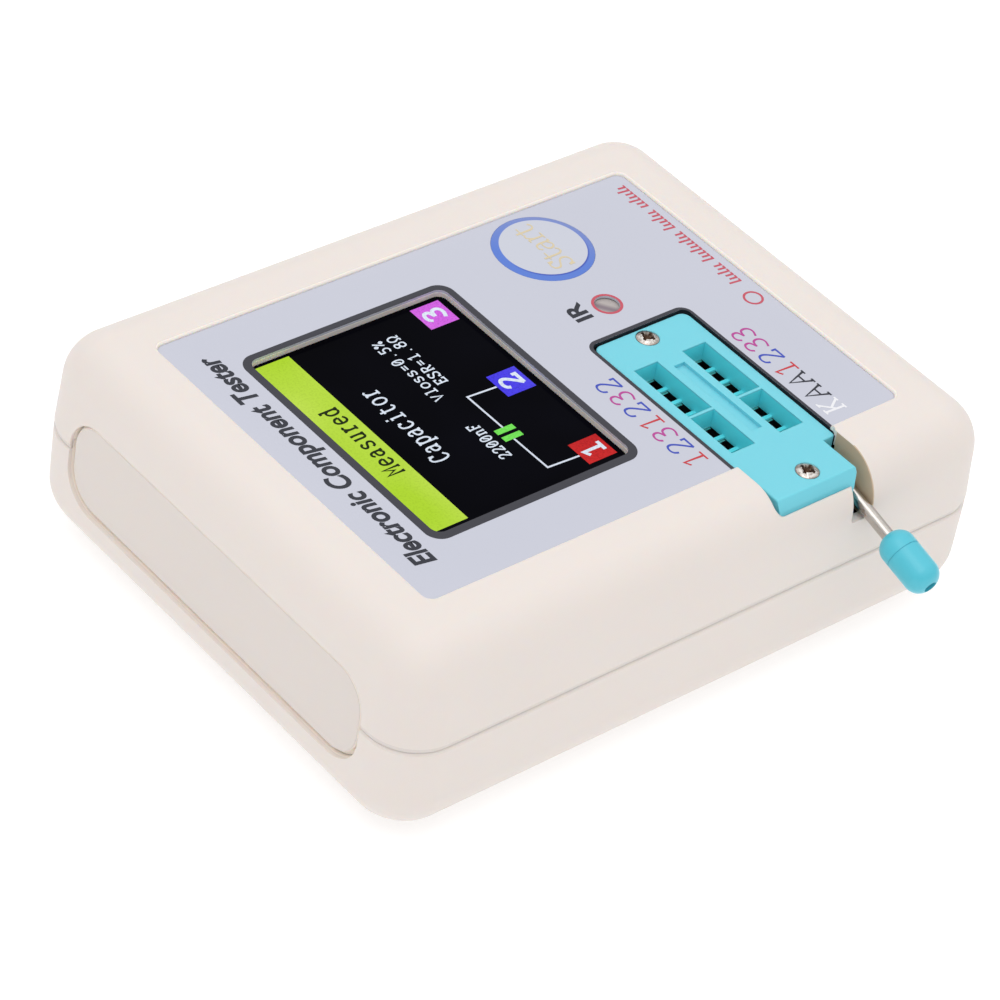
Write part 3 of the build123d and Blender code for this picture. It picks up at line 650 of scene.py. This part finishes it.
# ---- letters drawn with a pen -------------------------------------------------------------
# Each letter is a list of strokes in a cell 6 wide, on a baseline at 0 with capitals 6.4 high.
# "~" strokes are rounded through their points and "-" strokes are straight.
CELL, CAP = 6.0, 6.4
GLYPHS = {
    "A": ["- .7,0 3,6.4 5.3,0", "- 1.6,2.3 4.4,2.3", "- 0,0 1.7,0", "- 4.3,0 6,0"],
    "C": ["~ 5,4.6 4.5,5.9 3.1,6.5 1.4,5.8 .6,3.2 1.3,.7 3,0 5,1.1", "- 5,6.4 5,4.6"],
    "E": ["- 1.4,6.4 1.4,0", "- .6,6.4 5,6.4 5,5", "- .6,0 5.2,0 5.2,1.5", "- 1.4,3.3 3.6,3.3",
          "- 3.6,4 3.6,2.6"],
    "F": ["- 1.5,6.4 1.5,0", "- .6,0 3.1,0", "- .6,6.4 5.2,6.4 5.2,4.9", "- 1.5,3.3 3.7,3.3",
          "- 3.7,4 3.7,2.6"],
    "K": ["- 1.4,6.4 1.4,0", "- .5,6.4 2.5,6.4", "- .5,0 2.5,0", "- 4.9,6.4 1.4,2.6",
          "- 2.4,3.7 5,0", "- 4.1,0 5.8,0", "- 3.9,6.4 5.6,6.4"],
    "M": ["- .8,0 .8,6.4 3,2.6 5.2,6.4 5.2,0", "- 0,0 1.8,0", "- 4.2,0 6,0"],
    "R": ["- 1.3,6.4 1.3,0", "- .5,0 2.3,0", "- .5,6.4 3,6.4", "~ 3,6.4 4.5,5.9 4.7,4.4 3.1,3.3",
          "- 1.3,3.3 3.1,3.3 4.8,0 5.7,0"],
    "S": ["~ 4.7,5.2 4,6.3 2.8,6.5 1.4,6 1.2,4.6 2.5,3.7 4,3 5,1.9 4.5,.5 3,0 1.6,.3 .9,1.5",
          "- 4.8,6.5 4.8,5", "- .8,0 .8,1.6"],
    "V": ["- .6,6.4 3,0 5.4,6.4"],
    "d": ["- 3.2,6.6 4.5,6.6 4.5,0 5.5,0",
          "~ 4.5,3.3 3.6,4.5 2.3,4.6 1,3.7 .7,2.3 1,.9 2.2,0 3.5,.2 4.5,1.3"],
    "a": ["~ 1.2,3.8 2.3,4.6 3.8,4.3 4.4,3.2 4.4,1.6", "- 4.4,1.7 4.4,0 5.4,0",
          "~ 4.4,2.6 2.8,2.7 1.2,2.3 .7,1.3 1.3,.3 2.6,0 4.4,1"],
    "c": ["~ 4.8,3.4 4,4.5 2.8,4.7 1.3,4.1 .7,2.3 1.3,.6 2.9,0 4.9,.9", "- 4.8,4.6 4.8,3.4"],
    "e": ["- .8,2.5 5.2,2.5", "~ 5.2,2.5 4.7,4 3,4.7 1.4,4.1 .8,2.4 1.3,.6 3,0 5,.7"],
    "i": ["- 1.6,4.6 3,4.6 3,0", "- 1,0 5,0", "- 2.9,6.8 2.9,5.9"],
    "l": ["- 1.4,6.6 3,6.6 3,0", "- 1,0 5,0"],
    "n": ["- .5,4.6 1.5,4.6 1.5,0", "- .5,0 2.5,0", "~ 1.5,3.2 2.4,4.4 3.6,4.6 4.5,3.9 4.6,2.4",
          "- 4.6,2.5 4.6,0", "- 3.7,0 5.6,0"],
    "o": ["~ 3,4.7 1.4,4.1 .7,2.3 1.4,.6 3,0 4.6,.6 5.3,2.3 4.6,4.1 3,4.7"],
    "p": ["- .4,4.6 1.4,4.6 1.4,-1.9", "- .4,-1.9 2.6,-1.9",
          "~ 1.4,3.2 2.4,4.4 3.7,4.6 4.9,3.7 5.2,2.3 4.9,.9 3.7,0 2.4,.1 1.4,1.3"],
    "r": ["- .9,4.6 2.1,4.6 2.1,0", "- .9,0 4,0", "~ 2.1,2.6 2.9,4 4.1,4.7 5.2,4.2"],
    "s": ["~ 4.6,3.8 3.9,4.5 2.7,4.7 1.4,4.2 1.3,3.2 2.6,2.6 4,2.2 4.9,1.4 4.4,.3 3,0 1.6,.2 1,1"],
    "t": ["~ 2,6 2,3 2.1,1 2.9,.1 4,0 5,.6", "- .7,4.6 4.6,4.6"],
    "u": ["- .5,4.6 1.4,4.6 1.4,1.6", "~ 1.4,1.7 1.7,.4 2.8,0 3.9,.3 4.6,1.3",
          "- 3.7,4.6 4.6,4.6 4.6,0 5.5,0"],
    "0": ["~ 3,6.5 1.5,5.7 .9,3.2 1.5,.7 3,0 4.5,.7 5.1,3.2 4.5,5.7 3,6.5", "- 1.9,1.8 4.1,4.7"],
    "1": ["- 1.2,5.4 3,6.4 3,0", "- 1.2,0 4.8,0"],
    "2": ["~ 1,4.9 1.6,6.1 3,6.5 4.5,5.9 4.6,4.4 3.2,2.4 1,0", "- 1,0 5.1,0 5.1,1.3"],
    "3": ["~ 1,5.3 1.8,6.3 3.2,6.5 4.5,5.8 4.4,4.3 2.4,3.5",
          "~ 2.4,3.5 4.4,3 5,1.7 4.4,.4 2.9,0 .9,.7"],
    "5": ["- 4.7,6.4 1.5,6.4 1.4,3.6", "~ 1.4,3.6 2.8,4 4.3,3.5 5,2 4.3,.5 2.8,0 1,.6"],
    "8": ["~ 3,6.5 1.6,6 1.4,4.6 3,3.5 4.6,4.6 4.4,6 3,6.5",
          "~ 3,3.5 1.3,2.8 1,1.4 1.7,.2 3,0 4.3,.2 5,1.4 4.7,2.8 3,3.5"],
    "%": ["~ 1.5,6.3 .7,5.4 1.5,4.5 2.3,5.4 1.5,6.3", "~ 4.5,1.9 3.7,1 4.5,.1 5.3,1 4.5,1.9",
          "- 5,6 1,.4"],
    "=": ["- .8,3.9 5.2,3.9", "- .8,2.1 5.2,2.1"],
    ".": ["- 2.5,.3 3.5,.3"],
    "Ω": ["- .5,0 2.2,0",
          "~ 2.2,0 2,1.4 .9,2.8 .8,4.6 1.7,6.2 3,6.6 4.3,6.2 5.2,4.6 5.1,2.8 4,1.4 3.8,0",
          "- 3.8,0 5.5,0"],
}


def rounded(points, steps=5):
    """Smooth line through the points; it closes on itself when the ends meet."""
    closed = points[0] == points[-1]
    before = points[-2] if closed else points[0]
    after = points[1] if closed else points[-1]
    track = [before] + points + [after]
    line = []
    for a, b, c, d in zip(track, track[1:], track[2:], track[3:]):
        for k in range(steps):
            t = k / steps
            line.append(0.5 * ((2 * b) + (c - a) * t + (2 * a - 5 * b + 4 * c - d) * t * t
                               + (3 * b - a - 3 * c + d) * t ** 3))
    return line + [points[-1]]


class Sheet:
    """Pen strokes gathered into one thin mesh; crossing strokes lie at heights of their own."""

    STEP, LAYERS = 0.003, 5     # height between layers, mm, and layers before they start again

    def __init__(self, z):
        self.z, self.layer, self.verts, self.faces = z, 0, [], []

    def stroke(self, line, pen, thin=1.0):
        """Ribbon along a line; level strokes are drawn thinner by the given share."""
        low = self.z + self.STEP * (self.layer % self.LAYERS)
        self.layer += 1
        base = len(self.verts)
        ends_meet = (line[0] - line[-1]).length < 1e-6
        for k, point in enumerate(line):
            before = line[k - 1] if k else (line[-2] if ends_meet else None)
            after = line[k + 1] if k + 1 < len(line) else (line[1] if ends_meet else None)
            into = (point - before).normalized() if before is not None else None
            away = (after - point).normalized() if after is not None else None
            into, away = into or away, away or into
            along = (into + away).normalized()
            across = Vector((-along.y, along.x))
            width = pen * (thin + (1 - thin) * abs(along.y) ** 1.5) / 2
            width *= min(1 / max(along.dot(into), 0.3), 1.6)
            for side, z in ((1, low), (1, low + PRINT_T), (-1, low + PRINT_T), (-1, low)):
                spot = point + across * width * side
                self.verts.append((spot.x * MM, spot.y * MM, z * MM))
        last = base + 4 * (len(line) - 1)
        sides = ((0, 1), (1, 2), (2, 3), (3, 0))
        for k in range(base, last, 4):
            self.faces += [(k + a, k + b, k + 4 + b, k + 4 + a) for a, b in sides]
        self.faces += [(base + 3, base + 2, base + 1, base), (last, last + 1, last + 2, last + 3)]

    def text(self, words, centre, cap, pen, width, slant=0.0, thin=1.0, advance=None,
             narrow=1.0):
        """Row of letters, centred; cap is the height of a capital and width that of the row.

        advance gives some letters a step of their own, and narrow squeezes each letter."""
        steps = [(advance or {}).get(letter, CELL) for letter in words]
        unit_x, unit_y = width / sum(steps), cap / CAP
        x = centre[0] - width / 2
        y = centre[1] - cap / 2
        for letter, step in zip(words, steps):
            shift = (step - CELL) / 2
            for stroke in GLYPHS.get(letter, []):
                kind, *pairs = stroke.split()
                spots = [tuple(map(float, pair.split(","))) for pair in pairs]
                line = [Vector((x + (CELL / 2 + (a - CELL / 2) * narrow + shift) * unit_x
                                + slant * (b * unit_y - cap / 2), y + b * unit_y))
                        for a, b in spots]
                self.stroke(rounded(line) if kind == "~" else line, pen, thin)
            x += step * unit_x

    def finish(self, name, material, body="case"):
        """Turn the strokes into a piece."""
        mesh = bpy.data.meshes.new(name)
        mesh.from_pydata(self.verts, [], self.faces)
        add_piece(name, mesh, material, body)


def pen_text(name, words, centre, cap, pen, width, z, material, slot, body="case", **style):
    """One row of pen letters as a piece of its own."""
    sheet = Sheet(z)
    sheet.text(words, centre, cap, pen, width, **style)
    sheet.finish(name, material, body)


def sans_text(name, words, x_low, x_high, y_mid, cap, slant=0.0, weight=0.03):
    """Black print in the built-in sans face, stretched to fill a length; cap is its height."""
    curve = bpy.data.curves.new(name, "FONT")
    curve.body = words
    curve.shear = slant
    curve.offset = weight
    mesh = curve_mesh(name, curve)
    xs = [vertex.co.x for vertex in mesh.vertices]
    height = max(vertex.co.y for vertex in mesh.vertices)
    stretch = (x_high - x_low) / (max(xs) - min(xs)) * MM
    lift = cap / height * MM
    mesh.transform(Matrix.Translation((x_low * MM, (y_mid - cap / 2) * MM,
                                       (ink_z + PRINT_T) * MM))
                   @ Matrix.Diagonal((stretch, lift, 1, 1))
                   @ Matrix.Translation((-min(xs), 0, 0)))
    add_piece(name, mesh, INK_BLACK, "case")


# ---- print on the film --------------------------------------------------------------------


def screen_frame():
    """Dark line round the screen window, a little uneven in width as printed."""
    shift, line, clear, outer_corner = Vector((-0.12, 0.07)), 1.01, 0.02, 2.1
    middle = SCREEN_MID + shift
    outer = round_rect(middle.x, middle.y, SCREEN_SIZE.x + 2 * line, SCREEN_SIZE.y + 2 * line,
                       outer_corner)
    inner = round_rect(SCREEN_MID.x, SCREEN_MID.y, SCREEN_SIZE.x + clear, SCREEN_SIZE.y + clear,
                       SCREEN_CORNER)
    flat_piece("print_screen_frame", [outer, inner], ink_z, INK_DARK)


def socket_frame():
    """Dark line round the socket's notch, open at the film's left edge."""
    inner_r, outer_r, clear = 1.0, 1.6, 0.01
    line_right, line_top, line_bottom = 0.54, 0.5, 0.38
    left = film_low.x + 2 * clear
    right, top, bottom = NOTCH_X + clear, NOTCH_Y[1] + clear, NOTCH_Y[0] - clear
    inner = (arc(right - inner_r, bottom + inner_r, inner_r, -90, 0)
             + arc(right - inner_r, top - inner_r, inner_r, 0, 90))
    outer_x, outer_top, outer_bottom = right + line_right, top + line_top, bottom - line_bottom
    outer = (arc(outer_x - outer_r, outer_top - outer_r, outer_r, 90, 0)
             + arc(outer_x - outer_r, outer_bottom + outer_r, outer_r, 0, -90))
    loop = [(left, bottom)] + inner + [(left, top), (left, outer_top)] + outer
    flat_piece("print_socket_frame", [loop + [(left, outer_bottom)]], ink_z, INK_DARK)


def printed_ring(name, x, y, outer_r, inner_r):
    """Thin red ring on the film."""
    flat_piece(name, [circle(x, y, outer_r), circle(x, y, inner_r)], ink_z, INK_ROSE)


def pin_marks():
    """Pin numbers beside each slot, in thin slanted figures."""
    colors = {"1": INK_RED, "2": INK_BLUE, "3": INK_MAGENTA, "A": INK_BLACK, "K": INK_WHITE}
    cap, pen, width = 2.85, 0.32, 2.5
    rows = (("near", -6.5, (0.15,) * SLOTS, "1231232"),
            ("far", -27.45, (-0.75, -0.45, -0.15, -0.3, -0.25, -0.2, -0.45), "KAA1233"))
    for row, y, nudges, marks in rows:
        for place, (mark, nudge) in enumerate(zip(marks, nudges)):
            x = first_slot_x + PITCH * (place - SLOTS + 1) + nudge
            pen_text("print_{}_{}_{}".format(row, place, mark), mark, (x, y), cap, pen, width,
                     ink_z, colors[mark], "label_film", slant=0.05, thin=0.75)


def caution_line():
    """Rows of fine red ticks and a ring, where a note would be printed."""
    sheet = Sheet(ink_z)
    x, pitch, word_gap = 1.2, 0.72, 0.75
    foot_y, foot_lift, slant = -34.5, 0.1, 0.12
    short, tall = 1.15, 1.75
    for count in (6, 9, 6, 7):
        for k in range(count):
            rise = short if (k + count) % 3 else tall
            sheet.stroke([Vector((x, foot_y)), Vector((x + slant * rise, foot_y + rise))], 0.3)
            sheet.stroke([Vector((x + along, foot_y + foot_lift)) for along in (0.1, 0.45)], 0.24)
            x += pitch
        x += word_gap
    sheet.finish("print_ticks", INK_ROSE)
    printed_ring("print_small_ring", -2.2, -33.4, 1.3, 1.0)


screen_frame()
socket_frame()
printed_ring("print_infrared_ring", ir_mid.x, ir_mid.y, 1.95, 1.59)
pin_marks()
caution_line()
sans_text("print_title", "Electronic Component Tester", x_low=-20.4, x_high=21.1, y_mid=31.8,
          cap=2.75, slant=0.2)
sans_text("print_ir", "IR", x_low=4.6, x_high=7.9, y_mid=-12.45, cap=2.4)
pen_text("print_start", "Start", centre=(18.15, -16.95), cap=3.0, pen=0.3, width=9.2,
         z=key_high.z + INK_GAP, material=INK_GOLD, slot="key_film", body="key", thin=0.6,
         advance={"t": 4.4, "r": 5.0, "a": 5.6})


# ---- picture on the screen ----------------------------------------------------------------
def screen_picture():
    """Test result: a capacitor between two pins with its value and losses."""
    z = glass_high.z + INK_GAP
    over_z = z + 0.03
    slot = "display_glass"
    flat_piece("screen_bar", [box_loop(-15.78, 17.5, 22.1, 27.4)], z, LIT_LIME)
    pen_text("screen_heading", "Measured", centre=(0.84, 24.35), cap=2.2, pen=0.32, width=13.5,
             z=over_z, material=LIT_SHADE, slot=slot, narrow=0.85)
    digit_size, digit_pen = 2.6, 0.5
    tiles = (("3", (13.13, 17.28, -0.05, 4.23), LIT_MAGENTA),
             ("1", (-15.5, -11.6, -0.3, 3.9), LIT_RED),
             ("2", (-1.25, 2.9, 0.0, 4.25), LIT_BLUE))
    for digit, (x_low, x_high, y_low, y_high), material in tiles:
        flat_piece("screen_tile_" + digit, [box_loop(x_low, x_high, y_low, y_high)], z,
                   material)
        middle = ((x_low + x_high) / 2, (y_low + y_high) / 2)
        pen_text("screen_digit_" + digit, digit, middle, digit_size, digit_pen, digit_size,
                 over_z, LIT_TEXT, slot)
    lines = Sheet(z)
    wire_pen = 0.25
    for points in (((0.87, 4.3), (1.1, 8.5), (-5.34, 8.44)),
                   ((-7.57, 8.6), (-13.5, 8.5), (-13.75, 3.95))):
        lines.stroke([Vector(point) for point in points], wire_pen)
    lines.finish("screen_wires", LIT_LINE)
    plates = Sheet(z)
    plate_pen, plate_y = 0.85, (7.1, 9.8)
    for x in (-5.72, -7.1):
        plates.stroke([Vector((x, y)) for y in plate_y], plate_pen)
    plates.finish("screen_plates", LIT_GREEN)
    words = Sheet(z)
    words.text("Capacitor", (0.7, 18.25), cap=2.4, pen=0.26, width=14.65, narrow=0.85)
    for reading, centre, width in (("Vloss=0.5%", (8.34, 11.62), 12.4),
                                   ("ESR=1.8Ω", (9.47, 9.35), 10.2),
                                   ("2200nF", (-6.49, 11.45), 6.9)):
        words.text(reading, centre, cap=1.45, pen=0.21, width=width, narrow=0.9)
    words.finish("screen_words", LIT_TEXT)


screen_picture()


# ---- camera, floor and light --------------------------------------------------------------
WHITE = (1.0, 1.0, 1.0, 1.0)


def aim(obj, target, roll=0.0):
    """Turn a camera or light so that it looks at a point, with a roll about its own axis."""
    direction = (Vector(target) - obj.location).normalized()
    obj.rotation_euler = (direction.to_track_quat("-Z", "Y").to_matrix()
                          @ Matrix.Rotation(radians(roll), 3, "Z")).to_euler()


def camera():
    """Long lens that looks down across the case from its title end, on the lever's side."""
    data = bpy.data.cameras.new("camera")
    data.sensor_width = 36.0
    data.lens = 149.31
    data.clip_start, data.clip_end = 0.01, 10.0
    eye = bpy.data.objects.new("camera", data)
    eye.location = (-0.26614, 0.27529, 0.32132)
    target, roll = (-0.004462, 0.005924, 0.014), 10.084
    bpy.context.scene.collection.objects.link(eye)
    aim(eye, target, roll)
    bpy.context.scene.camera = eye


def floor():
    """Plain pale floor with a weak glow of its own, so that shadows on it stay faint."""
    reach, albedo, glow = 3.0, 0.62, 0.5
    mesh = bpy.data.meshes.new("floor")
    corners = [(x, y, 0) for x, y in box_loop(-reach, reach, -reach, reach)]
    mesh.from_pydata(corners, [], [(0, 1, 2, 3)])
    graph = Graph("floor_white", (albedo, albedo, albedo, 1.0), 0.8, Specular_IOR_Level=0.1)
    graph.put("Emission Color", WHITE)
    graph.put("Emission Strength", glow)
    mesh.materials.append(graph.material)
    sheet = bpy.data.objects.new("floor", mesh)
    bpy.context.scene.collection.objects.link(sheet)


def area_light(name, place, target, size, power):
    """Round soft lamp, aimed at a point."""
    data = bpy.data.lights.new(name, "AREA")
    data.shape = "DISK"
    data.size = size
    data.energy = power
    lamp = bpy.data.objects.new(name, data)
    lamp.location = place
    bpy.context.scene.collection.objects.link(lamp)
    aim(lamp, target)


def studio():
    """White tent that is brightest overhead, and one large soft lamp."""
    horizon, zenith = 0.38, 1.3
    world = bpy.data.worlds.new("studio")
    world.use_nodes = True
    tree = world.node_tree
    background = tree.nodes["Background"]
    background.inputs["Color"].default_value = WHITE
    split = tree.nodes.new("ShaderNodeSeparateXYZ")
    tree.links.new(tree.nodes.new("ShaderNodeTexCoord").outputs["Generated"], split.inputs[0])
    ramp = tree.nodes.new("ShaderNodeMapRange")
    ramp.inputs["To Min"].default_value = horizon
    ramp.inputs["To Max"].default_value = zenith
    tree.links.new(split.outputs["Z"], ramp.inputs["Value"])
    tree.links.new(ramp.outputs[0], background.inputs["Strength"])
    bpy.context.scene.world = world
    bpy.context.scene.view_settings.view_transform = "Standard"
    area_light("overhead", (-0.15, 0.25, 0.9), target=(0, 0, 0), size=0.7, power=1.35)


camera()
floor()
studio()
